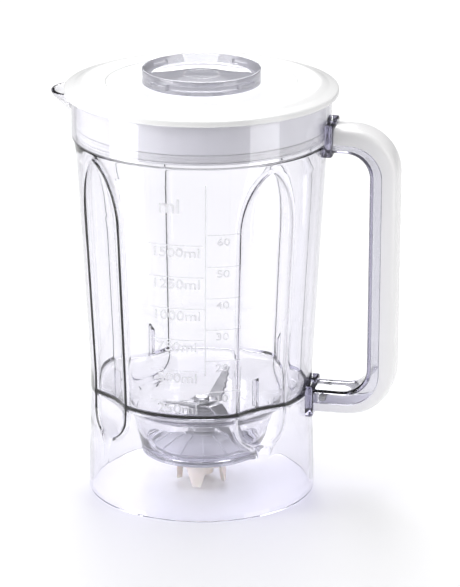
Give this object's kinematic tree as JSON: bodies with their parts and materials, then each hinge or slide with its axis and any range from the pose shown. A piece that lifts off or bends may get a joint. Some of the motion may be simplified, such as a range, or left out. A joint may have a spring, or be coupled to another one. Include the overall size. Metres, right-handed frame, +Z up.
{
  "type": "countertop blender jug attachment",
  "caption": "Clear fluted blender jug with spout, white push-in lid, clear filler cap, D handle and removable bladed base unit.",
  "frame": {"origin": "centre of the whole object's footprint, on the surface it stands on; the jug's axis is at x = -13.75 mm", "axes": "+Z up along the jug's axis, +X towards the handle, -X towards the spout, -Y towards the scale on the front"},
  "size_m": [0.2048, 0.1586, 0.2545],
  "materials": {
    "clear_plastic": "clear, polished, faint violet in its edges",
    "grey_clear_plastic": "grey, half clear",
    "white_plastic": "gloss white, fine moulded surface",
    "white_seal": "white silicone",
    "grey_rubber": "matt grey rubber",
    "stainless_steel": "brushed stainless steel",
    "sintered_bronze": "oiled sintered bronze",
    "cream_nylon": "cream moulded nylon"
  },
  "bodies": {
    "jug": {"jug": "clear_plastic", "handle_frame": "clear_plastic", "handle_cover": "white_plastic", "cover_pin": "stainless_steel"},
    "lid": {"lid": "white_plastic", "lid_seal": "white_seal"},
    "filler_cap": {"filler_cap": "clear_plastic"},
    "carrier": {"blade_carrier": "grey_clear_plastic", "carrier_seal": "grey_rubber", "shaft_seal": "grey_rubber", "lower_bush": "sintered_bronze", "upper_bush": "sintered_bronze"},
    "blades": {"drive_shaft": "stainless_steel", "thrust_washer": "stainless_steel", "blade_spacer": "stainless_steel", "lower_blade": "stainless_steel", "upper_blade": "stainless_steel", "blade_nut": "stainless_steel", "retaining_clip": "stainless_steel", "drive_coupling": "cream_nylon"}
  },
  "joints": [
    {"name": "lid_lift", "type": "slide", "parent": "jug", "child": "lid", "axis": [0, 0, 1], "range_m": [0, 0.045]},
    {"name": "cap_lift", "type": "slide", "parent": "lid", "child": "filler_cap", "axis": [0, 0, 1], "range_m": [0, 0.03]},
    {"name": "carrier_drop", "type": "slide", "parent": "jug", "child": "carrier", "axis": [0, 0, -1], "range_m": [0, 0.062]},
    {"name": "blade_spin", "type": "hinge", "parent": "carrier", "child": "blades", "pos_m": [-0.01375, 0, 0.05], "axis": [0, 0, 1], "continuous": true}
  ]
}
